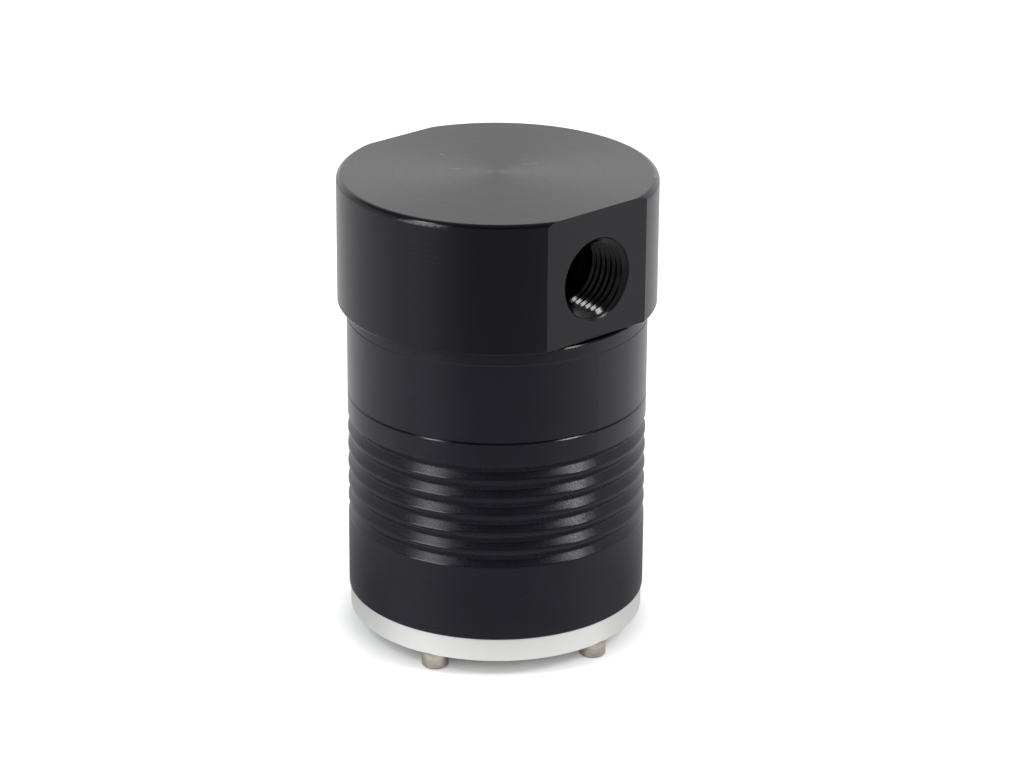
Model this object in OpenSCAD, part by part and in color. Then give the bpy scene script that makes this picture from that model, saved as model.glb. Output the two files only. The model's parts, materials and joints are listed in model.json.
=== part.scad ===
// Remote oil filter for an engine bay: a turned head with two tapped pipe ports, a body in two
// screwed halves with turned grip grooves, and a base plate held by socket head screws.
// Inside are a pleated element on an outlet tube, the spring that seats it and a bypass valve.
// Millimetres. The origin is at the bottom centre, on the plane of the screw heads.
// +Z runs up the axis, and +X runs out of the outlet port.

/* [Head] */
// Overhang of the head beyond the body's side
head_overhang = 2.375; // [1:0.125:6]
// Height of the head
head_h = 34.4; // [28:0.1:45]
// Depth to which the outlet port's flat is milled
outlet_flat_depth = 3.5; // [2:0.1:6]
// Depth to which the inlet port's flat is milled
inlet_flat_depth = 2.7; // [2:0.1:6]
// Edge break under each flat
flat_break = 0.5; // [0.2:0.1:1]
// Rounding of the head's top edge
head_round = 1.5; // [0.5:0.1:3]
// Rounding of the head's bottom edge
foot_round = 0.8; // [0.3:0.1:2]
// Depth of the oil chamber in the head's underside
chamber_depth = 2; // [1:0.1:3]
// Outside diameter of the boss that carries the outlet tube
boss_d = 28; // [26:0.1:30]
// Length of that boss below the head's underside
boss_drop = 4; // [2:0.1:8]

/* [Ports] */
// Major diameter of the port thread
port_d = 21; // [16:0.1:25.2]
// Depth of the tapped hole from the flat
port_depth = 16; // [12:0.1:20]
// Width of the countersink at the flat
port_mouth = 0.4; // [0.1:0.1:2]
// Height of the port axis above the head's underside
port_lift = 16; // [14.8:0.1:17]
// Diameter of the drilled oil ways
oilway_d = 14; // [10:0.1:14]

/* [Body] */
// Outside diameter of both body halves
body_d = 77.8; // [68:0.1:94]
// Height of the smooth upper half
upper_h = 24.5; // [20:0.1:35]
// Height of the grooved lower half
lower_h = 54.6; // [45:0.1:80]
// Wall of the lower half along the element
body_wall = 5.9; // [5:0.1:7]
// Wall left around each screwed socket
socket_wall = 4.3; // [3.5:0.1:5]
// Depth of each screwed socket
socket_depth = 12; // [10:0.1:15]
// Wall of each male spigot
spigot_wall = 3.6; // [3.2:0.1:5]
// Edge break on the turned edges
edge_break = 0.25; // [0.1:0.05:0.5]
// Edge break at the top of the lower half
seam_break = 0.4; // [0.1:0.05:0.5]
// Distance from the head to the fine turned line
line_drop = 3.65; // [3:0.05:8]
// Depth of the fine turned line
line_depth = 0.12; // [0.1:0.02:0.4]
// Height of the fine turned line's upper flank
line_rise = 0.3; // [0.2:0.05:0.5]
// Height of the fine turned line's lower ledge
line_ledge = 0.04; // [0.02:0.01:0.1]

/* [Grip grooves] */
// Number of grooves
groove_count = 6; // [3:1:8]
// Distance from groove to groove
groove_pitch = 4.85; // [4.5:0.05:6]
// Width of a groove between its lips
groove_w = 4; // [3:0.1:4.2]
// Depth of a groove
groove_depth = 1.44; // [0.8:0.02:1.6]
// Width of a groove's flat floor
groove_floor = 0.3; // [0.1:0.1:1]
// Depth of the edge break on a groove's lips
groove_lip = 0.1; // [0.05:0.01:0.2]
// Distance from the seam to the first groove's middle
groove_drop = 8.1; // [5:0.1:12]

/* [Base plate] */
// Distance of the base plate's edge inside the body's side
plate_inset = 0.4; // [0:0.05:1]
// Thickness of the base plate
plate_t = 6.2; // [4:0.1:10]
// Edge break on the base plate
plate_break = 0.15; // [0.1:0.05:1]
// Wall of the lower half around the plate's register
land_wall = 7.9; // [7.5:0.1:9]
// Height of that thicker wall
land_h = 12; // [11:0.1:15]
// Height of the register that enters the lower half
register_h = 5.5; // [5:0.1:8]
// Depth of the spring's recess in the register
recess_depth = 3; // [1:0.1:4]

/* [Screws] */
// Number of screws in the base plate
screw_count = 5; // [4:1:8]
// Distance from the body's outside to the screw circle
screw_inset = 3.6; // [3.5:0.1:4]
// Turn of the first screw from the outlet port, in degrees
screw_clock = 4.5; // [0:0.5:72]
// Shank diameter
screw_d = 4.16; // [3.5:0.01:4.2]
// Head diameter
screw_head_d = 6.86; // [6:0.01:7]
// Head height
screw_head_h = 4.17; // [3:0.01:5]
// Width of the hexagon socket across its flats
screw_hex = 3.57; // [2.5:0.01:4]
// Depth of the hexagon socket
screw_hex_depth = 2.1; // [1.5:0.1:2.5]
// Length of the shank under the head
screw_l = 12.7; // [10:0.1:14]
// Depth of each tapped hole past the screw's end
screw_relief = 2; // [1:0.5:4]

/* [Seals] */
// Section diameter of the three housing rings
ring_d = 1.78; // [1.5:0.01:2.4]
// Width of a ring's groove
ring_groove_w = 2.4; // [2.2:0.1:3]
// Distance from a spigot's root to its ring groove
ring_set = 1.5; // [1:0.1:2]

/* [Element] */
// Oil gap between the body and the element
oil_gap = 5.6; // [4.2:0.1:8]
// Height of the element above the base plate
element_lift = 19; // [17:0.1:25]
// Sheet thickness of the end caps
cap_t = 0.8; // [0.6:0.1:1.2]
// Height of an end cap's rim
cap_rim_h = 3; // [2:0.1:5]
// Number of pleats
pleat_count = 40; // [24:1:48]
// Thickness of the pleated sheet
sheet_t = 0.5; // [0.3:0.05:0.6]
// Outside diameter of the centre tube
core_d = 28; // [27:0.1:32]
// Wall of the centre tube
core_wall = 0.8; // [0.6:0.1:1]
// Diameter of the centre tube's holes
core_hole_d = 4.4; // [3:0.1:5]
// Wall of the outer screen
screen_wall = 0.6; // [0.4:0.1:1]
// Diameter of the outer screen's holes
screen_hole_d = 7; // [5:0.1:8]
// Distance between the rows of holes
hole_row = 8; // [8:0.5:12]
// Least width of metal between the columns of holes
hole_bridge = 0.9; // [0.5:0.1:3]

/* [Outlet tube] */
// Outside diameter of the outlet tube
tube_d = 19; // [18:0.1:20]
// Wall of the outlet tube
tube_wall = 2.5; // [1.5:0.1:3]
// Length of the outlet tube inside the head's boss
tube_grip = 12; // [8:0.1:14]
// Length of the outlet tube below its hexagon
tube_drop = 8; // [6:0.1:12]
// Width of the hexagon across its flats
tube_hex = 24; // [22:0.1:26]
// Height of the hexagon
tube_hex_h = 4; // [3:0.1:6]
// Height of the rubber seal above the top cap
seal_lip = 1.8; // [1:0.1:3]
// Width of the rubber seal outside the outlet tube
seal_w = 3; // [2:0.1:4]
// Depth of the seal's groove, which holds it in the top cap
seal_groove = 1.2; // [0.6:0.1:1.6]

/* [Springs] */
// Wire diameter of the element spring
seat_wire_d = 2.2; // [1.5:0.1:2.5]
// Mean diameter of the element spring
seat_coil_d = 29; // [28.8:0.1:32]
// Turns of the element spring
seat_turns = 4; // [3:0.5:5]
// Wire diameter of the bypass spring
valve_wire_d = 1.1; // [0.8:0.1:1.3]
// Mean diameter of the bypass spring
valve_coil_d = 11; // [9:0.1:12]
// Turns of the bypass spring
valve_turns = 4.5; // [3:0.5:5]
// Length of the bypass spring with the valve shut
valve_spring_l = 11; // [10:0.1:14]

/* [Bypass valve] */
// Diameter of the valve seat's body
seat_d = 22; // [20:0.1:23]
// Diameter of the hole through the valve seat
seat_bore_d = 16; // [12:0.1:17]
// Height of the valve seat above the bottom cap
seat_rise = 3; // [2:0.1:5]
// Thickness of the valve seat's flange
seat_flange_t = 1.5; // [1:0.1:2]
// Width of the valve seat's flange beyond its body
seat_flange_w = 1.5; // [1:0.1:1.6]
// Width of the chamfer that the poppet's nose enters
seat_chamfer = 1; // [0.5:0.1:1.2]
// Diameter of the poppet
poppet_d = 19; // [18:0.1:20]
// Thickness of the poppet
poppet_t = 2.2; // [1.5:0.1:3]
// Diameter of the poppet's stem
stem_d = 4; // [3:0.1:5]
// Length of the stem past the cage at rest
stem_over = 5; // [4:0.1:8]
// Wall of the cage
cage_wall = 0.9; // [0.6:0.1:1.1]
// Thickness of the cage's top
cage_top_t = 1.2; // [1:0.1:2]
// Number of windows in the cage
window_count = 3; // [3:1:4]
// Height of the windows' lower edge above the valve seat
window_sill = 1; // [0.5:0.5:3]
// Height of the band above the windows
window_band = 2; // [1:0.5:3]

/* [Fits] */
// Clearance on a radius between screwed or pushed parts
fit_gap = 0.05; // [0.02:0.01:0.1]
// Clearance between a rubber ring and its groove
ring_gap = 0.05; // [0.02:0.01:0.1]
// Clearance on a radius inside the element
element_gap = 0.1; // [0.05:0.01:0.2]
// Clearance on a radius round a screw in the plate
screw_gap = 0.17; // [0.1:0.01:0.3]
// Clearance at the end of a screwed spigot or tube
end_gap = 0.5; // [0.2:0.1:1]

/* [Hidden] */
$fn = 96;
cut = 1;

black = [0.10, 0.10, 0.11];
silver = [0.80, 0.80, 0.78];
steel = [0.62, 0.60, 0.56];
zinc = [0.70, 0.70, 0.66];
rubber = [0.06, 0.06, 0.06];
mesh = [0.78, 0.72, 0.55];
brass = [0.76, 0.62, 0.32];

// Levels on the axis
z_plate = screw_head_h;
z_lower = z_plate + plate_t;
z_seam = z_lower + lower_h;
z_head = z_seam + upper_h;
z_top = z_head + head_h;
z_port = z_head + port_lift;

// Radii of the housing
body_r = body_d / 2;
head_r = body_r + head_overhang;
outlet_face = head_r - outlet_flat_depth;
inlet_face = head_r - inlet_flat_depth;
plate_r = body_r - plate_inset;
bore_r = body_r - body_wall;
socket_r = body_r - socket_wall;
spigot_r = socket_r - fit_gap;
spigot_bore_r = spigot_r - spigot_wall;
spigot_l = socket_depth - end_gap;
land_r = body_r - land_wall;
register_r = land_r - fit_gap;
screw_circle_r = body_r - screw_inset;
boss_r = boss_d / 2;
chamber_r = (boss_r + spigot_bore_r) / 2;

// Element, from its seal on the outlet tube down to its spring
z_boss = z_head - boss_drop;
z_seal = z_boss - tube_hex_h;
z_cap_top = z_seal - seal_lip;
z_cap_low = z_lower + element_lift;
element_r = spigot_bore_r - oil_gap;
cap_rim_r = element_r + element_gap;
core_r = core_d / 2;
tube_r = tube_d / 2;
seal_r = tube_r + seal_w;
seal_neck_r = seal_r - seal_groove;
pleat_z = z_cap_low + cap_t;
pleat_h = z_cap_top - z_cap_low - 2 * cap_t;
pleat_out_r = element_r - screen_wall - element_gap;
pleat_in_r = core_r + element_gap;

// Bypass valve, from its seat upwards
seat_r = seat_d / 2;
seat_flange_r = seat_r + seat_flange_w;
z_seat = pleat_z + seat_rise;
z_valve_spring = z_seat + poppet_t;
z_cage = z_valve_spring + valve_spring_l;
cage_bore_r = seat_r + fit_gap;
cage_r = cage_bore_r + cage_wall;
stem_r = stem_d / 2;

// Seat of the element spring
z_recess = z_lower + register_h - recess_depth;
z_cup = z_cap_low - cap_t;
cup_bore_r = seat_flange_r + 2 * element_gap;
cup_r = (seat_coil_d + seat_wire_d) / 2 + cap_t + 2 * element_gap;

// Turned solid from a half section drawn as radius and height
module turned() {
    rotate_extrude() children();
}

// Ring between two radii
module tube(outer, inner, height) {
    difference() {
        cylinder(r = outer, h = height);
        translate([0, 0, -cut])
            cylinder(r = inner, h = height + 2 * cut);
    }
}

// Half section of a ring whose outer corners are broken
module broken_section(inner, outer, z0, z1, foot, top) {
    polygon([
        [inner, z0], [outer - foot, z0], [outer, z0 + foot],
        [outer, z1 - top], [outer - top, z1], [inner, z1]
    ]);
}

// Half section of the groove that holds a rubber ring against a wall of the given radius
module ring_groove(wall_r, z) {
    floor_r = wall_r - ring_d - 2 * ring_gap;
    translate([floor_r, z])
        square([ring_d + cut, ring_groove_w]);
}

// Rubber ring in that groove
module rubber_ring(wall_r, z) {
    turned()
        translate([wall_r - ring_gap - ring_d / 2, z + ring_groove_w / 2])
            circle(d = ring_d);
}

// Copies around the axis
module around(count, start = 0) {
    for (i = [0 : count - 1])
        rotate([0, 0, start + i * 360 / count])
            children();
}

// Places of the base plate's screws
module at_screws() {
    around(screw_count, screw_clock)
        translate([screw_circle_r, 0, 0])
            children();
}

// Rows of round holes through a tube that stands on z = 0, each row staggered to the last
module hole_rows(radius, hole_d, height) {
    count = floor(PI * radius / (hole_d + hole_bridge));
    rows = floor((height - hole_d) / hole_row);
    first = (height - (rows - 1) * hole_row) / 2;
    for (row = [0 : rows - 1])
        translate([0, 0, first + row * hole_row])
            around(count, (1 / 4 + (row % 2) / 2) * 360 / count)
                translate([radius / 2, 0, 0])
                    rotate([0, 90, 0])
                        cylinder(d = hole_d, h = radius);
}

// Round wire wound between two levels, with its end turns closed flat
function coil_rise(t, turns) =
    t < 1 ? 0 : (t > turns - 1 ? 1 : (t - 1) / (turns - 2));

module coil_spring(mean_d, wire_d, turns, length) {
    sides = 8;
    steps = 16;
    rings = floor(turns * steps);
    travel = length - wire_d;
    close = 2 * wire_d;
    points = [
        for (i = [0 : rings])
            let (
                t = i / steps,
                angle = 360 * t,
                lead = min(t, 1) + max(t - turns + 1, 0),
                z = wire_d / 2 + close / 2 * lead + (travel - close) * coil_rise(t, turns)
            )
            for (j = [0 : sides - 1])
                let (
                    a = 360 * j / sides,
                    r = mean_d / 2 + wire_d / 2 * cos(a)
                )
                [r * cos(angle), r * sin(angle), z + wire_d / 2 * sin(a)]
    ];
    skin = [
        for (i = [0 : rings - 1])
            for (j = [0 : sides - 1])
                let (k = (j + 1) % sides)
                [i * sides + j, i * sides + k, (i + 1) * sides + k, (i + 1) * sides + j]
    ];
    start = [[for (j = [sides - 1 : -1 : 0]) j]];
    end = [[for (j = [0 : sides - 1]) rings * sides + j]];
    polyhedron(points = points, faces = concat(skin, start, end));
}

// Port, its countersink and the oil way behind it, drilled along +X to a flat from the given reach
module port(face, reach) {
    translate([0, 0, z_port])
        rotate([0, 90, 0]) {
            translate([0, 0, face - port_depth])
                cylinder(d = port_d, h = port_depth + cut);
            translate([0, 0, face - port_mouth])
                cylinder(d1 = port_d, d2 = port_d + 2 * (port_mouth + cut), h = port_mouth + cut);
            translate([0, 0, reach])
                cylinder(d = oilway_d, h = face - reach);
        }
}

// What the mill takes off the head's +X side to leave a flat, with its lower edge broken
module milling(face) {
    z_break = z_head + flat_break;
    foot = flat_break + cut;
    translate([0, head_r, 0])
        rotate([90, 0, 0])
            linear_extrude(2 * head_r)
                polygon([
                    [face, z_top + cut], [face, z_break], [face - foot, z_break - foot],
                    [head_r + cut, z_break - foot], [head_r + cut, z_top + cut]
                ]);
}

// Head: a turned block with a boss and a spigot, milled flats and cross drilled ports
module head() {
    color(black)
        difference() {
            turned()
                head_section();
            milling(outlet_face);
            port(outlet_face, 0);
            rotate([0, 0, 180]) {
                milling(inlet_face);
                port(inlet_face, chamber_r);
            }
            outlet_drilling();
            inlet_drilling();
        }
}

// Half section of the head, with its top and bottom edges rounded
module head_section() {
    round_r = head_r - head_round;
    z_round = z_top - head_round;
    foot_r = head_r - foot_round;
    z_foot = z_head + foot_round;
    difference() {
        union() {
            polygon([
                [0, z_head], [foot_r, z_head], [foot_r, z_foot], [head_r, z_foot],
                [head_r, z_round], [round_r, z_round], [round_r, z_top], [0, z_top]
            ]);
            translate([round_r, z_round])
                circle(r = head_round);
            translate([foot_r, z_foot])
                circle(r = foot_round);
            translate([spigot_bore_r, z_head - spigot_l])
                square([spigot_wall, spigot_l + chamber_depth]);
            translate([0, z_boss])
                square([boss_r, boss_drop + chamber_depth]);
        }
        translate([boss_r, z_head - cut])
            square([spigot_bore_r - boss_r, chamber_depth + cut]);
        ring_groove(socket_r, z_head - ring_set - ring_groove_w);
    }
}

// Bore of the boss for the outlet tube, and the oil way from it up to the outlet port
module outlet_drilling() {
    translate([0, 0, z_boss - cut])
        cylinder(r = tube_r + fit_gap, h = tube_grip + cut);
    translate([0, 0, z_boss])
        cylinder(d = oilway_d, h = z_port - z_boss);
}

// Oil way from the inlet port down into the chamber
module inlet_drilling() {
    translate([-chamber_r, 0, z_head])
        cylinder(d = oilway_d, h = port_lift);
}

// Upper half of the body, with a socket for the head and a spigot for the lower half
module upper_body() {
    color(black)
        turned()
            difference() {
                union() {
                    broken_section(spigot_bore_r, body_r, z_seam, z_head, edge_break, edge_break);
                    translate([spigot_bore_r, z_seam - spigot_l])
                        square([spigot_wall, spigot_l + cut]);
                }
                translate([spigot_bore_r - cut, z_head - socket_depth])
                    square([socket_r - spigot_bore_r + cut, socket_depth + cut]);
                ring_groove(socket_r, z_seam - ring_set - ring_groove_w);
                turned_line();
            }
}

// Fine line turned round the upper half, a vee with a steep upper flank and a short ledge below
module turned_line() {
    reach = line_depth + cut;
    translate([body_r - line_depth, z_head - line_drop])
        polygon([
            [0, 0], [line_depth, -line_ledge], [reach, -line_ledge],
            [reach, line_rise], [line_depth, line_rise]
        ]);
}

// Lower half of the body, grooved for grip and tapped for the base plate's screws
module lower_body() {
    color(black)
        difference() {
            turned()
                difference() {
                    broken_section(land_r, body_r, z_lower, z_seam, edge_break, seam_break);
                    translate([land_r - cut, z_lower + land_h])
                        square([bore_r - land_r + cut, lower_h]);
                    translate([bore_r - cut, z_seam - socket_depth])
                        square([socket_r - bore_r + cut, socket_depth + cut]);
                    grip_grooves();
                }
            at_screws()
                translate([0, 0, z_lower - cut])
                    cylinder(r = screw_d / 2 + fit_gap, h = screw_l - plate_t + screw_relief + cut);
        }
}

// Half sections of the vee grooves, each lip broken at twice the slope of the vee's flank
module grip_grooves() {
    floor_half = groove_floor / 2;
    slope = (groove_w / 2 - floor_half) / groove_depth;
    lip_in = groove_w / 2 - slope * groove_lip;
    lip_out = groove_w / 2 + 3 * slope * groove_lip;
    for (i = [0 : groove_count - 1])
        translate([body_r, z_seam - groove_drop - i * groove_pitch])
            polygon([
                [-groove_depth, -floor_half], [-groove_lip, -lip_in], [groove_lip, -lip_out],
                [groove_lip, lip_out], [-groove_lip, lip_in], [-groove_depth, floor_half]
            ]);
}

// Base plate, with a register that enters the lower half and a recess for the spring
module base_plate() {
    color(silver)
        difference() {
            turned()
                difference() {
                    union() {
                        broken_section(0, plate_r, z_plate, z_lower, plate_break, plate_break);
                        translate([0, z_plate + plate_t / 2])
                            square([register_r, plate_t / 2 + register_h]);
                    }
                    translate([-cut, z_recess])
                        square([cup_r + cut, recess_depth + cut]);
                    ring_groove(land_r, z_lower + ring_set);
                }
            at_screws()
                translate([0, 0, z_plate - cut])
                    cylinder(r = screw_d / 2 + screw_gap, h = plate_t + 2 * cut);
        }
}

// Socket head screws, driven up through the base plate
module cover_screws() {
    color(steel)
        at_screws()
            cap_screw();
}

module cap_screw() {
    head_break = 0.3;
    difference() {
        union() {
            turned()
                polygon([
                    [0, 0], [screw_head_d / 2 - head_break, 0], [screw_head_d / 2, head_break],
                    [screw_head_d / 2, screw_head_h], [0, screw_head_h]
                ]);
            cylinder(d = screw_d, h = screw_head_h + screw_l);
        }
        translate([0, 0, -cut])
            cylinder(d = screw_hex / cos(30), h = screw_hex_depth + cut, $fn = 6);
    }
}

module head_o_ring() {
    color(rubber)
        rubber_ring(socket_r, z_head - ring_set - ring_groove_w);
}

module body_o_ring() {
    color(rubber)
        rubber_ring(socket_r, z_seam - ring_set - ring_groove_w);
}

module base_o_ring() {
    color(rubber)
        rubber_ring(land_r, z_lower + ring_set);
}

// Outlet tube, screwed into the head's boss by its hexagon
module outlet_tube() {
    tube_l = tube_drop + tube_hex_h + tube_grip - end_gap;
    color(zinc)
        difference() {
            union() {
                translate([0, 0, z_seal - tube_drop])
                    cylinder(r = tube_r, h = tube_l);
                translate([0, 0, z_seal])
                    cylinder(d = tube_hex / cos(30), h = tube_hex_h, $fn = 6);
            }
            translate([0, 0, z_seal - tube_drop - cut])
                cylinder(r = tube_r - tube_wall, h = tube_l + 2 * cut);
        }
}

// Rubber seal, buttoned into the top cap's hole and pushed over the outlet tube
module element_top_seal() {
    color(rubber)
        turned()
            difference() {
                translate([tube_r + fit_gap, z_seal - 2 * seal_lip - cap_t])
                    square([seal_w - fit_gap, 2 * seal_lip + cap_t]);
                translate([seal_neck_r, z_cap_top - cap_t - ring_gap])
                    square([seal_groove + cut, cap_t + 2 * ring_gap]);
            }
}

// Pressed end cap with its plate at z = 0 and its rim rising from it
module end_cap(hole_r) {
    turned() {
        translate([hole_r, 0])
            square([cap_rim_r + cap_t - hole_r, cap_t]);
        translate([cap_rim_r, 0])
            square([cap_t, cap_rim_h]);
    }
}

module element_top_cap() {
    color(zinc)
        translate([0, 0, z_cap_top])
            mirror([0, 0, 1])
                end_cap(seal_neck_r + ring_gap);
}

module element_bottom_cap() {
    color(zinc)
        translate([0, 0, z_cap_low])
            end_cap(seat_r + fit_gap);
}

// Outline of the folded sheet, as the fold tips and fold roots of one of its two faces
function fold_line(tip_r, root_r, tip_half, root_half) =
    let (step = 360 / pleat_count)
    [
        for (i = [0 : pleat_count - 1])
            for (corner = [
                [tip_r, -tip_half], [tip_r, tip_half],
                [root_r, step / 2 - root_half], [root_r, step / 2 + root_half]
            ])
                let (a = i * step + corner[1])
                corner[0] * [cos(a), sin(a)]
    ];

// Pleated filter sheet
module element_pleats() {
    tip_turn = sheet_t / pleat_out_r * 180 / PI;
    root_turn = sheet_t / pleat_in_r * 180 / PI;
    fold_half = 0.4;
    color(mesh)
        translate([0, 0, pleat_z])
            linear_extrude(pleat_h)
                difference() {
                    polygon(fold_line(pleat_out_r, pleat_in_r + sheet_t, fold_half + tip_turn, fold_half));
                    polygon(fold_line(pleat_out_r - sheet_t, pleat_in_r, fold_half, fold_half + root_turn));
                }
}

module element_centre_tube() {
    color(zinc)
        translate([0, 0, pleat_z])
            difference() {
                tube(core_r, core_r - core_wall, pleat_h);
                hole_rows(core_r, core_hole_d, pleat_h);
            }
}

module element_outer_screen() {
    color(zinc)
        translate([0, 0, pleat_z])
            difference() {
                tube(element_r, element_r - screen_wall, pleat_h);
                hole_rows(element_r, screen_hole_d, pleat_h);
            }
}

// Cup between the element spring and the bottom cap
module spring_cup() {
    rim_h = 2.5;
    color(zinc)
        turned() {
            translate([cup_bore_r, z_cup])
                square([cup_r - cup_bore_r, cap_t]);
            translate([cup_r - cap_t, z_cup + cap_t - rim_h])
                square([cap_t, rim_h]);
        }
}

module element_spring() {
    color(steel)
        translate([0, 0, z_recess])
            coil_spring(seat_coil_d, seat_wire_d, seat_turns, z_cup - z_recess);
}

// Valve seat, held in the bottom cap's hole by its flange below and the cage above
module bypass_seat() {
    color(brass)
        turned()
            difference() {
                union() {
                    translate([seat_bore_d / 2, z_cap_low - seat_flange_t])
                        square([seat_flange_r - seat_bore_d / 2, seat_flange_t]);
                    translate([seat_bore_d / 2, z_cap_low - seat_flange_t])
                        square([seat_r - seat_bore_d / 2, z_seat - z_cap_low + seat_flange_t]);
                }
                translate([seat_bore_d / 2, z_seat - seat_chamfer])
                    polygon([
                        [-cut, -cut], [seat_chamfer + cut, seat_chamfer + cut], [-cut, seat_chamfer + cut]
                    ]);
            }
}

// Poppet that rests on the seat, with a stem guided by the cage
module bypass_poppet() {
    nose = seat_chamfer - element_gap;
    nose_r = seat_bore_d / 2 - fit_gap;
    color(brass) {
        turned()
            polygon([
                [0, z_seat - nose], [nose_r, z_seat - nose], [nose_r + nose, z_seat],
                [poppet_d / 2, z_seat], [poppet_d / 2, z_valve_spring], [0, z_valve_spring]
            ]);
        translate([0, 0, z_seat])
            cylinder(r = stem_r, h = poppet_t + valve_spring_l + cage_top_t + stem_over);
    }
}

module bypass_spring() {
    color(steel)
        translate([0, 0, z_valve_spring])
            coil_spring(valve_coil_d, valve_wire_d, valve_turns, valve_spring_l);
}

// Cage over the seat, with windows for the oil and a guide hole for the stem
module bypass_cage() {
    cage_h = z_cage + cage_top_t - pleat_z;
    sill = seat_rise + window_sill;
    window_h = cage_h - cage_top_t - window_band - sill;
    color(zinc)
        translate([0, 0, pleat_z])
            difference() {
                cylinder(r = cage_r, h = cage_h);
                translate([0, 0, -cut])
                    cylinder(r = cage_bore_r, h = cage_h - cage_top_t + cut);
                cylinder(r = stem_r + fit_gap, h = cage_h + cut);
                around(window_count)
                    translate([0, -cage_r / 2, sill])
                        cube([2 * cage_r, cage_r, window_h]);
            }
}

head();
upper_body();
lower_body();
base_plate();
cover_screws();
head_o_ring();
body_o_ring();
base_o_ring();
outlet_tube();
element_top_seal();
element_top_cap();
element_bottom_cap();
element_pleats();
element_centre_tube();
element_outer_screen();
spring_cup();
element_spring();
bypass_seat();
bypass_poppet();
bypass_spring();
bypass_cage();
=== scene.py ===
import json
import math

import bmesh
import bpy
from mathutils import Matrix, Vector

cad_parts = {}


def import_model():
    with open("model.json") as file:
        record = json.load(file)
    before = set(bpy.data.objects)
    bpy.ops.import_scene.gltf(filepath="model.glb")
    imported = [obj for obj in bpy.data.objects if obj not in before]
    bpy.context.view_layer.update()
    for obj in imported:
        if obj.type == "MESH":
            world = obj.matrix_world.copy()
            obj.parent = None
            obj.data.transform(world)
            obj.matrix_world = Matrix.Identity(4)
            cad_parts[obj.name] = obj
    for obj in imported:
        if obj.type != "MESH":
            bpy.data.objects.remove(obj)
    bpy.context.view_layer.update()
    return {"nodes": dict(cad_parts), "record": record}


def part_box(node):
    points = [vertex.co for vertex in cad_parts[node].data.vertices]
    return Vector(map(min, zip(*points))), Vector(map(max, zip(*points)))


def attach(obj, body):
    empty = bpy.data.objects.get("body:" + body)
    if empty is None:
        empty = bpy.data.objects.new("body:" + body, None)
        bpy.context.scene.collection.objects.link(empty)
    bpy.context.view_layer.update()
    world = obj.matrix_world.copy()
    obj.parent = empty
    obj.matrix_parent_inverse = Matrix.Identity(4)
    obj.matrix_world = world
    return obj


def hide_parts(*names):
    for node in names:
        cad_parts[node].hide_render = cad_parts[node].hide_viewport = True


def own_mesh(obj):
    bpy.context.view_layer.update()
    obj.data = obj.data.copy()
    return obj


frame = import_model()

MM = 0.001

# Camera. It stands on this bearing from the filter's axis, and its roll and small turn off the
# axis are those of the photograph.
CAMERA_BEARING = math.radians(-41.25)
CAMERA_REACH = 0.9109
CAMERA_HEIGHT = 0.43704
CAMERA_PITCH = math.radians(-22.188)
CAMERA_TURN = math.radians(-0.248)
CAMERA_ROLL = math.radians(0.375)
CAMERA_LENS = 132.767
CAMERA_SENSOR = 36
CAMERA_CLIP = 0.01

# Places on the filter, read from the frame
mounts = {mount["name"]: mount for mount in frame["record"]["mounts"]}
band = mounts["clamp_band"]
body_r = band["dims"]["r_mm"] * MM
head_seat_z = band["pos_m"][2] + band["dims"]["length_mm"] * MM / 2
port_r = mounts["outlet_port"]["dims"]["r_mm"] * MM
port_z = mounts["outlet_port"]["pos_m"][2]
head_low, head_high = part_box("head")
lower_low, lower_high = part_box("lower_body")

# Part of the lower half that holds the grooves: distances from its foot and from its top, and the
# depths below the wall over which a groove begins
GROOVES_FROM_FOOT = 8 * MM
GROOVES_FROM_TOP = 4 * MM
GROOVE_BEGINS = (0.12 * MM, 0.3 * MM)

# Fine line turned round the upper half, below the head's seat; its band is coloured lighter as a painted
# highlight
FINE_LINE_HALF = 0.22 * MM
fine_line_z = head_seat_z - 3.28 * MM

# Short scratches on the top: ends to the camera's right of the axis and away from it, in millimetres
SCRATCHES = (
    ((-12.8, 2.3), (-8.7, 2.5)),
    ((5.9, 6.1), (10.4, 6.7)),
    ((9.2, 7.4), (10.6, 7.6)),
    ((-15.2, 14.5), (-13.6, 12.6)),
)
SCRATCH_HALF = 0.2 * MM

# Pipe thread of the two ports. Crest, root and edge are shares of the pitch, and the thread fades
# out over the last turns.
THREAD_PITCH = 1.814 * MM
THREAD_DEPTH = 1.12 * MM
THREAD_TAPER = 1 / 32
THREAD_CREST = 0.06
THREAD_ROOT = 0.06
THREAD_EDGE = 0.03
THREAD_EDGE_RISE = 0.92
THREAD_FADE = 1.2
THREAD_SEGMENTS = 120
THREAD_START = 0.42 * MM
THREAD_END = 13.6 * MM
THREAD_SKIN = 0.01 * MM
THREAD_WALL = 0.02 * MM
THREAD_LEAD_IN = 2.2
MERGE = 0.0005 * MM

# Black finish, darkest and lightest, where it differs, and the painted light and shade on it: fine line
# highlight, groove flank reflection, port shade
BLACK = ((0.0038, 0.0032, 0.0086, 1), (0.0052, 0.0044, 0.0112, 1))
FLANK_PAINTED_REFLECTION = (0.0150, 0.0142, 0.0190, 1)
LINE_PAINTED_HIGHLIGHT = (0.0200, 0.0195, 0.0230, 1)
BLACK_HEAD = (0.0013, 0.0011, 0.0048, 1)
PORT_PAINTED_SHADE = (0.0018, 0.0015, 0.0026, 1)
SPECK = (0.10, 0.10, 0.10, 1)
SCRATCH = (0.16, 0.16, 0.16, 1)
TURNED_ROUGH = (0.24, 0.36)
GROOVE_ROUGH = (0.24, 0.38)
PORT_ROUGH = 0.11
EDGE_ROUGH = 0.17

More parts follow.
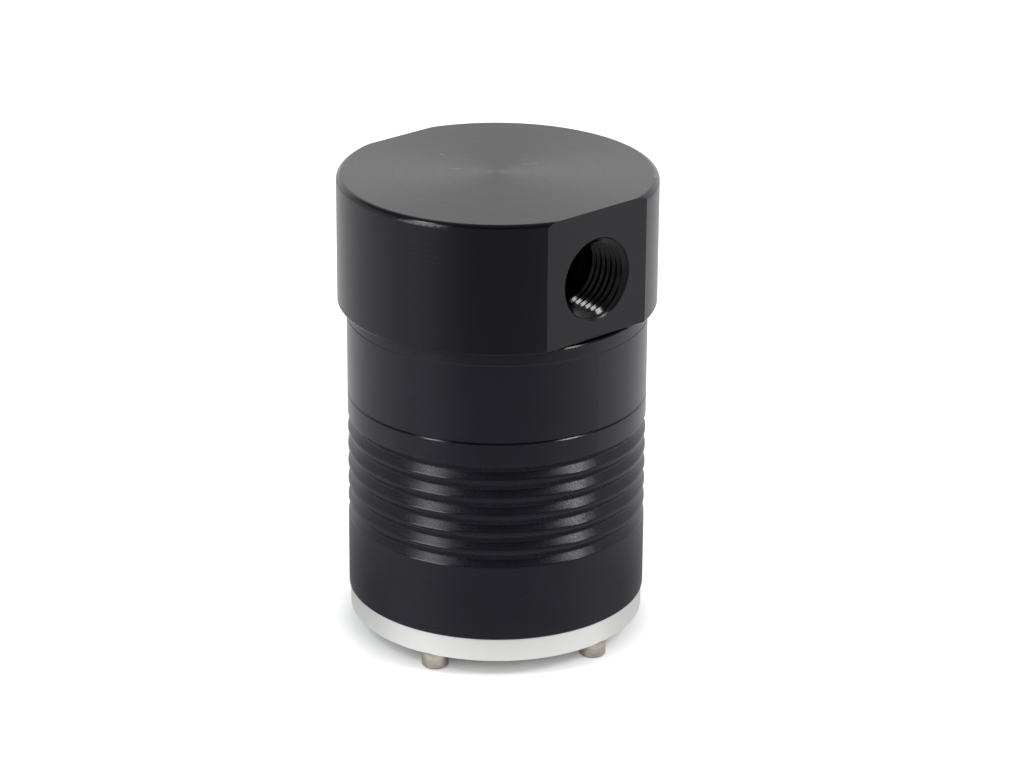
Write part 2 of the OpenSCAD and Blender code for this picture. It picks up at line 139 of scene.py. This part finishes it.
# Other finishes, darkest and lightest
SILVER = ((0.84, 0.85, 0.82, 1), (0.90, 0.90, 0.88, 1))
STAINLESS = ((0.40, 0.35, 0.29, 1), (0.64, 0.59, 0.53, 1))
ZINC = ((0.56, 0.56, 0.52, 1), (0.70, 0.70, 0.66, 1))
WIRE = ((0.34, 0.33, 0.31, 1), (0.50, 0.49, 0.47, 1))
BRASS = ((0.66, 0.46, 0.18, 1), (0.80, 0.60, 0.28, 1))
RUBBER = ((0.012, 0.012, 0.012, 1), (0.024, 0.023, 0.022, 1))
SHEET = ((0.50, 0.38, 0.18, 1), (0.80, 0.68, 0.42, 1))

# Floor: half its side, its distance below the filter, and its tone
FLOOR_HALF = 3.0
FLOOR_DROP = 0.05 * MM
FLOOR_WHITE = 0.82

# Lamps: bearing from the camera's side and elevation in degrees, width, height, power and colour
SOFTBOXES = {
    "softbox_left": (-64.5, 49.5, 0.16, 0.24, 1.8, (0.90, 0.95, 1.0)),
    "softbox_right": (73.0, 44.5, 0.17, 0.34, 3.05, (1.0, 1.0, 1.0)),
}
SOFTBOX_DISTANCE = 0.9
SOFTBOX_AIM = Vector((0, 0, 0.06))

# Bright strip seen in gloss: bearing from the camera's side in degrees, and its level
STRIP_BEARING = -52
STRIP_LEVEL = 7.5


def bearing(angle):
    return Vector((math.cos(angle), math.sin(angle), 0))


to_camera = bearing(CAMERA_BEARING)


class Shader:
    """Short calls for building one material's or the world's nodes."""

    def __init__(self, owner):
        owner.use_nodes = True
        self.tree = owner.node_tree
        self.tree.nodes.clear()

    def add(self, kind, inputs=None, **settings):
        node = self.tree.nodes.new(kind)
        for name, value in settings.items():
            setattr(node, name, value)
        for name, value in (inputs or {}).items():
            self.put(node.inputs[name], value)
        return node

    def put(self, socket, value):
        if isinstance(value, bpy.types.NodeSocket):
            self.tree.links.new(value, socket)
        else:
            socket.default_value = value

    def math(self, operation, a, b=0.0):
        node = self.add("ShaderNodeMath", operation=operation)
        for socket, value in zip(node.inputs, (a, b)):
            self.put(socket, value)
        return node.outputs[0]

    def plus(self, a, b):
        return self.math("ADD", a, b)

    def minus(self, a, b):
        return self.math("SUBTRACT", a, b)

    def times(self, first, *others):
        for other in others:
            first = self.math("MULTIPLY", first, other)
        return first

    def size(self, a):
        return self.math("ABSOLUTE", a)

    def above(self, a, b):
        return self.math("GREATER_THAN", a, b)

    def below(self, a, b):
        return self.math("LESS_THAN", a, b)

    def distance(self, a, b):
        return self.math("SQRT", self.plus(self.times(a, a), self.times(b, b)))

    def dot(self, vector, axis):
        inputs = {0: vector, 1: tuple(axis)}
        return self.add("ShaderNodeVectorMath", inputs, operation="DOT_PRODUCT").outputs["Value"]

    def vector(self, x, y, z):
        return self.add("ShaderNodeCombineXYZ", {0: x, 1: y, 2: z}).outputs[0]

    def ramp(self, value, low, high, out_low=0.0, out_high=1.0, smooth=True):
        kind = "SMOOTHSTEP" if smooth else "LINEAR"
        inputs = {"Value": value, "From Min": low, "From Max": high, "To Min": out_low, "To Max": out_high}
        return self.add("ShaderNodeMapRange", inputs, interpolation_type=kind).outputs[0]

    def noise(self, vector, scale, detail=2.0, roughness=0.5):
        inputs = {"Vector": vector, "Scale": scale, "Detail": detail, "Roughness": roughness}
        return self.add("ShaderNodeTexNoise", inputs).outputs["Fac"]

    def mix(self, share, a, b):
        """Mixes two numbers"""
        return self.add("ShaderNodeMix", {0: share, 2: a, 3: b}).outputs[0]

    def mix_color(self, share, a, b):
        node = self.add("ShaderNodeMix", data_type="RGBA")
        for socket, value in zip((node.inputs[0], node.inputs[6], node.inputs[7]), (share, a, b)):
            self.put(socket, value)
        return node.outputs[2]

    def bump(self, height, distance, strength=1.0, under=None):
        inputs = {"Height": height, "Distance": distance, "Strength": strength}
        if under is not None:
            inputs["Normal"] = under
        return self.add("ShaderNodeBump", inputs).outputs[0]


def surface(shader, color, roughness, normal, **fixed):
    """Closes a material with one Principled shader. fixed holds what is the same all over."""
    inputs = {"Base Color": color, "Roughness": roughness, "Normal": normal}
    node = shader.add("ShaderNodeBsdfPrincipled", inputs)
    for name, value in fixed.items():
        node.inputs[name.replace("_", " ")].default_value = value
    output = shader.add("ShaderNodeOutputMaterial")
    shader.tree.links.new(node.outputs[0], output.inputs["Surface"])
    return node


def place(shader):
    """Position in the filter's own frame: its point, x, y, z, and distance from the axis."""
    point = shader.add("ShaderNodeTexCoord").outputs["Object"]
    parts = shader.add("ShaderNodeSeparateXYZ", {0: point}).outputs
    x, y, z = parts[0], parts[1], parts[2]
    return point, x, y, z, shader.distance(x, y)


def turned_marks(shader, along, scale, across=None, wander=0.0):
    """Fine lines that repeat along one measure, as a lathe leaves them"""
    side = shader.times(across, wander) if across is not None else 0.0
    return shader.noise(shader.vector(along, side, 0.0), scale, detail=3.0, roughness=0.65)


def around_tangent(surface_node, shader):
    tangent = shader.add("ShaderNodeTangent", direction_type="RADIAL", axis="Z").outputs[0]
    shader.put(surface_node.inputs["Tangent"], tangent)


def scratches(shader, x, y):
    """One along each of the short scratches on the top, seen from above"""
    right = bearing(CAMERA_BEARING + math.pi / 2)
    mask = 0.0
    for ends in SCRATCHES:
        start, end = (MM * (right * u - to_camera * v) for u, v in ends)
        run = (end - start).normalized()
        middle = (start + end) / 2
        along = shader.plus(shader.times(x, run.x), shader.times(y, run.y))
        along = shader.size(shader.minus(along, middle.dot(run)))
        off = shader.minus(shader.times(y, run.x), shader.times(x, run.y))
        off = shader.size(shader.minus(off, middle.y * run.x - middle.x * run.y))
        half = (end - start).length / 2
        stroke = shader.times(shader.ramp(along, half, half * 0.6), shader.ramp(off, SCRATCH_HALF, 0.0))
        mask = shader.math("MAXIMUM", mask, stroke)
    return mask


def specks(shader, point):
    """Sparse pale dust: the middles of some cells"""
    cells = shader.add("ShaderNodeTexVoronoi", {"Vector": point, "Scale": 300.0}).outputs
    pick = shader.add("ShaderNodeSeparateColor", {"Color": cells["Color"]}).outputs[0]
    return shader.times(shader.ramp(cells["Distance"], 0.045, 0.03), shader.above(pick, 0.82))


def black_anodised():
    material = bpy.data.materials.new("black_anodised_turned")
    shader = Shader(material)
    point, x, y, z, r = place(shader)
    normal = shader.add("ShaderNodeNewGeometry").outputs["Normal"]
    up = shader.add("ShaderNodeSeparateXYZ", {0: normal}).outputs[2]

    # Turning marks run round the axis, on the top as rings and on the wall as lines
    top = shader.ramp(up, 0.85, 0.98)
    rings = turned_marks(shader, r, scale=2600)
    broad_rings = turned_marks(shader, r, scale=420)
    lines = turned_marks(shader, z, scale=2400)
    top_lines = shader.plus(shader.times(rings, 0.65), shader.times(broad_rings, 0.35))
    marks = shader.mix(top, lines, top_lines)
    grain = shader.noise(point, scale=2300, detail=3.0, roughness=0.6)

    # Where the finish differs: grooves, head, ports and broken edges; painted light and shade go on the
    # fine line, the groove flanks and the ports
    shallow, deep = GROOVE_BEGINS
    in_groove = shader.ramp(r, body_r - shallow, body_r - deep)
    groove_band = shader.times(in_groove, shader.below(z, lower_high.z - GROOVES_FROM_TOP))
    groove_band = shader.times(groove_band, shader.above(z, lower_low.z + GROOVES_FROM_FOOT))
    line_highlight_band = shader.below(shader.size(shader.minus(z, fine_line_z)), FINE_LINE_HALF)
    on_head = shader.above(z, head_seat_z + 0.2 * MM)
    from_port = shader.distance(y, shader.minus(z, port_z))
    in_port = shader.below(from_port, port_r - THREAD_SKIN / 2)
    slope = shader.size(up)
    edge = shader.times(shader.ramp(slope, 0.25, 0.35), shader.ramp(slope, 0.92, 0.85))
    edge = shader.times(edge, shader.minus(1.0, groove_band), shader.above(from_port, port_r * 1.4))

    cloud = shader.noise(point, scale=90, detail=3.0, roughness=0.55)
    color = shader.mix_color(shader.ramp(cloud, 0.3, 0.7), *BLACK)
    # Painted reflection: the grooves' down-facing flanks are coloured lighter, standing in for the bright
    # floor seen in them
    color = shader.mix_color(shader.times(groove_band, shader.ramp(up, -0.2, -0.5)), color, FLANK_PAINTED_REFLECTION)
    # Painted highlight: the fine line's band is coloured lighter, standing in for light caught on its edge
    color = shader.mix_color(line_highlight_band, color, LINE_PAINTED_HIGHLIGHT)
    color = shader.mix_color(on_head, color, BLACK_HEAD)
    color = shader.mix_color(shader.times(specks(shader, point), 0.7), color, SPECK)
    scratch = shader.times(scratches(shader, x, y), shader.times(top, shader.ramp(grain, 0.3, 0.6)))
    color = shader.mix_color(scratch, color, SCRATCH)
    # Painted shade: the inside of the ports is coloured darker
    color = shader.mix_color(in_port, color, PORT_PAINTED_SHADE)

    roughness = shader.ramp(marks, 0.25, 0.75, *TURNED_ROUGH, smooth=False)
    roughness = shader.mix(groove_band, roughness, shader.ramp(grain, 0.3, 0.7, *GROOVE_ROUGH))
    roughness = shader.mix(in_port, roughness, PORT_ROUGH)
    roughness = shader.mix(edge, roughness, EDGE_ROUGH)

    marks = shader.times(marks, shader.minus(1.0, in_port))
    bumped = shader.bump(marks, distance=0.004 * MM, strength=0.55)
    grain_height = shader.times(grain, groove_band)
    bumped = shader.bump(grain_height, distance=0.03 * MM, strength=0.7, under=bumped)
    node = surface(shader, color, roughness, bumped, IOR=1.38, Anisotropic=0.5, Anisotropic_Rotation=0.25)
    around_tangent(node, shader)
    return material


def silver_anodised():
    material = bpy.data.materials.new("silver_anodised_satin")
    shader = Shader(material)
    point, x, y, z, r = place(shader)
    fine = shader.noise(point, scale=3000, roughness=0.6)
    lines = turned_marks(shader, z, scale=1800)
    color = shader.mix_color(shader.noise(point, scale=60), *SILVER)
    roughness = shader.ramp(lines, 0.3, 0.7, 0.34, 0.46)
    height = shader.plus(lines, shader.times(fine, 0.5))
    bumped = shader.bump(height, distance=0.003 * MM, strength=0.6)
    surface(shader, color, roughness, bumped, Metallic=0.7)
    return material


def metal(name, tones, mark_scale, low_rough, high_rough):
    """A plain worked metal with streaks along z and a fine grain"""
    material = bpy.data.materials.new(name)
    shader = Shader(material)
    point, x, y, z, r = place(shader)
    grain = shader.noise(point, scale=2600, roughness=0.6)
    lines = turned_marks(shader, z, mark_scale, x, wander=0.03)
    bands = turned_marks(shader, z, mark_scale / 3)
    lines = shader.plus(shader.times(lines, 0.5), shader.times(bands, 0.5))
    cloud = shader.noise(point, scale=260, detail=3.0)
    tone = shader.plus(shader.times(cloud, 0.5), shader.times(bands, 0.5))
    color = shader.mix_color(shader.ramp(tone, 0.35, 0.65), *tones)
    roughness = shader.ramp(lines, 0.3, 0.7, low_rough, high_rough)
    height = shader.plus(lines, shader.times(grain, 0.4))
    bumped = shader.bump(height, distance=0.006 * MM, strength=0.6)
    surface(shader, color, roughness, bumped, Metallic=1.0)
    return material


def rubber():
    material = bpy.data.materials.new("nitrile_rubber")
    shader = Shader(material)
    point, x, y, z, r = place(shader)
    grain = shader.noise(point, scale=3500, detail=3.0, roughness=0.6)
    color = shader.mix_color(shader.noise(point, scale=200), *RUBBER)
    bumped = shader.bump(grain, distance=0.01 * MM, strength=0.5)
    surface(shader, color, shader.ramp(grain, 0.3, 0.7, 0.5, 0.7), bumped)
    return material


def filter_sheet():
    material = bpy.data.materials.new("resin_filter_sheet")
    shader = Shader(material)
    point, x, y, z, r = place(shader)
    stretched = shader.vector(x, y, shader.times(z, 0.35))
    fibre = shader.noise(stretched, scale=2400, detail=5.0, roughness=0.7)
    color = shader.mix_color(fibre, *SHEET)
    bumped = shader.bump(fibre, distance=0.05 * MM, strength=0.6)
    surface(shader, color, shader.ramp(fibre, 0.3, 0.7, 0.7, 0.9), bumped)
    return material


def port_thread(name, mount, face_x):
    """Closed liner with a tapered helical thread, set in a port's plain bore"""
    outer_r = mount["dims"]["r_mm"] * MM - THREAD_SKIN
    out = Vector(mount["axis"])
    across = Vector((0, 1, 0))
    up = out.cross(across)
    face = Vector((face_x, 0, mount["pos_m"][2]))
    half_crest = THREAD_CREST / 2
    half_root = THREAD_ROOT / 2
    # One turn of the thread: share of the pitch, and rise from root to crest
    shape = (
        (half_root, 0.0),
        (0.5 - half_crest - THREAD_EDGE, THREAD_EDGE_RISE),
        (0.5 - half_crest, 1.0),
        (0.5 + half_crest, 1.0),
        (0.5 + half_crest + THREAD_EDGE, THREAD_EDGE_RISE),
        (1 - half_root, 0.0),
    )

    def rise_at(share):
        if share <= shape[0][0] or share >= shape[-1][0]:
            return 0.0
        for (left, low), (right, high) in zip(shape, shape[1:]):
            if share <= right:
                return low + (high - low) * (share - left) / (right - left)

    def radius_at(depth, turn):
        share = (depth / THREAD_PITCH - turn) % 1
        fade = min(1, (THREAD_END - depth) / (THREAD_FADE * THREAD_PITCH))
        radius = outer_r - THREAD_WALL - THREAD_TAPER * depth - THREAD_DEPTH * rise_at(share) * fade
        return max(radius, outer_r - THREAD_LEAD_IN * (depth - THREAD_START))

    # Columns along the bore, each shifted in by its share of a turn, between two rings of the
    # liner's outside
    turns = math.ceil(THREAD_END / THREAD_PITCH) + 1
    mesh = bmesh.new()
    columns = []
    for step in range(THREAD_SEGMENTS):
        turn = step / THREAD_SEGMENTS
        angle = 2 * math.pi * turn
        spoke = math.cos(angle) * across + math.sin(angle) * up
        column = []
        for k in range(-1, turns):
            for share, rise in shape:
                depth = min(max((k + share + turn) * THREAD_PITCH, THREAD_START), THREAD_END)
                column.append(mesh.verts.new(face - out * depth + radius_at(depth, turn) * spoke))
        column.insert(0, mesh.verts.new(face - out * THREAD_START + outer_r * spoke))
        column.append(mesh.verts.new(face - out * THREAD_END + outer_r * spoke))
        columns.append(column)
    per_turn = len(shape)
    for step in range(THREAD_SEGMENTS):
        here = columns[step]
        there = columns[(step + 1) % THREAD_SEGMENTS]
        if step == THREAD_SEGMENTS - 1:
            # The last column meets the first one turn further in
            there = there[:1] + there[1 + per_turn:-1] + [there[-2]] * per_turn + there[-1:]
        for k in range(len(here)):
            m = (k + 1) % len(here)
            corners = []
            for vert in (here[k], here[m], there[m], there[k]):
                if vert not in corners:
                    corners.append(vert)
            if len(corners) > 2:
                mesh.faces.new(corners)
    bmesh.ops.remove_doubles(mesh, verts=mesh.verts, dist=MERGE)
    bmesh.ops.dissolve_degenerate(mesh, edges=mesh.edges, dist=MERGE)
    bmesh.ops.recalc_face_normals(mesh, faces=mesh.faces)
    data = bpy.data.meshes.new(name)
    mesh.to_mesh(data)
    mesh.free()
    piece = bpy.data.objects.new(name, data)
    bpy.context.scene.collection.objects.link(piece)
    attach(piece, "housing")
    return piece


def sprung_coil(name, node):
    """Coil in a CAD spring's place, hung on the housing. The node stays for collision."""
    source = frame["nodes"][node]
    piece = bpy.data.objects.new(name, source.data.copy())
    piece.matrix_world = source.matrix_world
    bpy.context.scene.collection.objects.link(piece)
    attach(piece, "housing")
    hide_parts(node)
    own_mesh(piece)
    return piece


def dress(piece, material):
    piece.data.materials.clear()
    piece.data.materials.append(material)


def floor_gloss(shader, position):
    """The floor's tone for gloss. It darkens towards the camera's side, as it does where a white sweep
    ends in front of the object, and carries a painted shadow close round the foot."""
    reach = shader.dot(position, to_camera)
    from_axis = shader.add("ShaderNodeVectorMath", {0: position}, operation="LENGTH").outputs["Value"]
    toward = shader.math("DIVIDE", reach, from_axis)
    level = shader.ramp(toward, 1.0, 0.3, out_low=0.57, out_high=0.88, smooth=False)
    level = shader.plus(level, shader.ramp(toward, 0.35, 0.15, out_high=0.22))
    level = shader.minus(level, shader.ramp(reach, 170 * MM, 250 * MM, out_high=0.20))
    by_plate = shader.times(
        shader.ramp(from_axis, 70 * MM, 53 * MM),
        shader.ramp(toward, 0.2, 0.6, out_high=0.95),
    )
    level = shader.times(shader.math("MAXIMUM", level, by_plate), FLOOR_WHITE)
    painted_shadow_by_wall = shader.times(
        shader.ramp(from_axis, 46.5 * MM, 52 * MM, out_high=0.2),
        shader.ramp(from_axis, 120 * MM, 60 * MM),
    )
    # Painted shadow: the gloss tone darkens close round the foot at the sides and back
    shade = shader.plus(shader.ramp(from_axis, 160 * MM, 60 * MM, out_high=0.38), painted_shadow_by_wall)
    shade = shader.times(shader.ramp(toward, 0.6, 0.1), shade)
    return shader.times(level, shader.minus(1.0, shade)), from_axis


def floor():
    size = FLOOR_HALF
    data = bpy.data.meshes.new("floor")
    corners = [(x * size, y * size, -FLOOR_DROP) for x, y in ((-1, -1), (1, -1), (1, 1), (-1, 1))]
    data.from_pydata(corners, [], [(0, 1, 2, 3)])
    piece = bpy.data.objects.new("floor", data)
    bpy.context.scene.collection.objects.link(piece)
    material = bpy.data.materials.new("white_sweep")
    shader = Shader(material)
    rays = shader.add("ShaderNodeLightPath").outputs
    position = shader.add("ShaderNodeNewGeometry").outputs["Position"]
    gloss_level, from_axis = floor_gloss(shader, position)
    level = shader.mix(rays["Is Glossy Ray"], FLOOR_WHITE, gloss_level)
    diffuse = shader.add("ShaderNodeBsdfDiffuse", {"Color": shader.vector(level, level, level)})
    # The camera sees the floor lifted to white by painted light; the lift is smaller in the shadow round
    # the foot, and lightens that shadow too
    shadow_lift = shader.ramp(from_axis, 28 * MM, 37 * MM, out_high=0.18)
    lift = shader.plus(shadow_lift, shader.ramp(from_axis, 37 * MM, 48 * MM, out_high=0.3))
    glow = shader.add("ShaderNodeEmission", {"Strength": shader.times(lift, rays["Is Camera Ray"])})
    both = shader.add("ShaderNodeAddShader", {0: diffuse.outputs[0], 1: glow.outputs[0]})
    output = shader.add("ShaderNodeOutputMaterial")
    shader.tree.links.new(both.outputs[0], output.inputs["Surface"])
    dress(piece, material)


def world():
    """White all round. For gloss it is brightest low at the back and darkens overhead and in front,
    and a tall strip stands at the camera's left."""
    surround = bpy.data.worlds.new("white_surround")
    bpy.context.scene.world = surround
    shader = Shader(surround)
    rays = shader.add("ShaderNodeLightPath").outputs
    direction = shader.add("ShaderNodeTexCoord").outputs["Generated"]
    front = shader.dot(direction, to_camera)
    up = shader.dot(direction, (0, 0, 1))
    level = shader.plus(1.05, shader.ramp(front, -0.45, -0.85, out_high=0.72))
    level = shader.times(level, shader.ramp(up, 0.42, 0.62, out_low=1.0, out_high=0.3))
    level = shader.times(level, shader.ramp(front, -0.05, 0.5, out_low=1.0, out_high=0.5))
    flat = shader.math("SQRT", shader.minus(1.0, shader.times(up, up)))
    strip_axis = bearing(CAMERA_BEARING + math.radians(STRIP_BEARING))
    strip = shader.ramp(shader.math("DIVIDE", shader.dot(direction, strip_axis), flat), 0.955, 0.99)
    strip = shader.times(strip, shader.ramp(up, 0.72, 0.55))
    level = shader.plus(level, shader.times(strip, STRIP_LEVEL))
    level = shader.mix(rays["Is Glossy Ray"], 1.0, level)
    background = shader.add("ShaderNodeBackground", {"Strength": level})
    output = shader.add("ShaderNodeOutputWorld")
    shader.tree.links.new(background.outputs[0], output.inputs["Surface"])


def softbox(name, turn, elevation, width, height, power, color):
    """An area lamp at a bearing from the camera's side, aimed at the filter"""
    flat = bearing(CAMERA_BEARING + math.radians(turn))
    rise = math.radians(elevation)
    spot = SOFTBOX_AIM + SOFTBOX_DISTANCE * (math.cos(rise) * flat + Vector((0, 0, math.sin(rise))))
    data = bpy.data.lights.new(name, "AREA")
    data.shape = "RECTANGLE"
    data.size = width
    data.size_y = height
    data.energy = power
    data.color = color
    lamp = bpy.data.objects.new(name, data)
    lamp.location = spot
    lamp.rotation_euler = (spot - SOFTBOX_AIM).to_track_quat("Z", "Y").to_euler()
    bpy.context.scene.collection.objects.link(lamp)


def camera():
    data = bpy.data.cameras.new("camera")
    data.lens = CAMERA_LENS
    data.sensor_width = CAMERA_SENSOR
    data.sensor_fit = "HORIZONTAL"
    data.clip_start = CAMERA_CLIP
    piece = bpy.data.objects.new("camera", data)
    bpy.context.scene.collection.objects.link(piece)
    spot = CAMERA_REACH * to_camera + Vector((0, 0, CAMERA_HEIGHT))
    turn = CAMERA_BEARING + math.pi / 2 + CAMERA_TURN
    pose = Matrix.Rotation(turn, 4, "Z") @ Matrix.Rotation(math.pi / 2 + CAMERA_PITCH, 4, "X")
    piece.matrix_world = Matrix.Translation(spot) @ pose @ Matrix.Rotation(CAMERA_ROLL, 4, "Z")
    bpy.context.scene.camera = piece


camera()
bpy.context.scene.view_settings.view_transform = "Standard"
world()
floor()
for name, values in SOFTBOXES.items():
    softbox(name, *values)

finishes = {
    "black_anodised": black_anodised(),
    "silver_anodised": silver_anodised(),
    "screw_steel": metal("stainless_screw", STAINLESS, mark_scale=1500, low_rough=0.28, high_rough=0.42),
    "black_rubber": rubber(),
    "zinc_steel": metal("bright_zinc", ZINC, mark_scale=700, low_rough=0.25, high_rough=0.40),
    "spring_steel": metal("drawn_wire", WIRE, mark_scale=1100, low_rough=0.25, high_rough=0.38),
    "filter_sheet": filter_sheet(),
    "valve_brass": metal("turned_brass", BRASS, mark_scale=1600, low_rough=0.2, high_rough=0.34),
}
for part in frame["record"]["subparts"]:
    dress(frame["nodes"][part["node"]], finishes[part["material_slot"]])
for name, face_x in (("outlet_port", head_high.x), ("inlet_port", head_low.x)):
    dress(port_thread(name + "_thread", mounts[name], face_x), finishes["black_anodised"])
dress(sprung_coil("bypass_spring_coil", "bypass_spring"), finishes["spring_steel"])
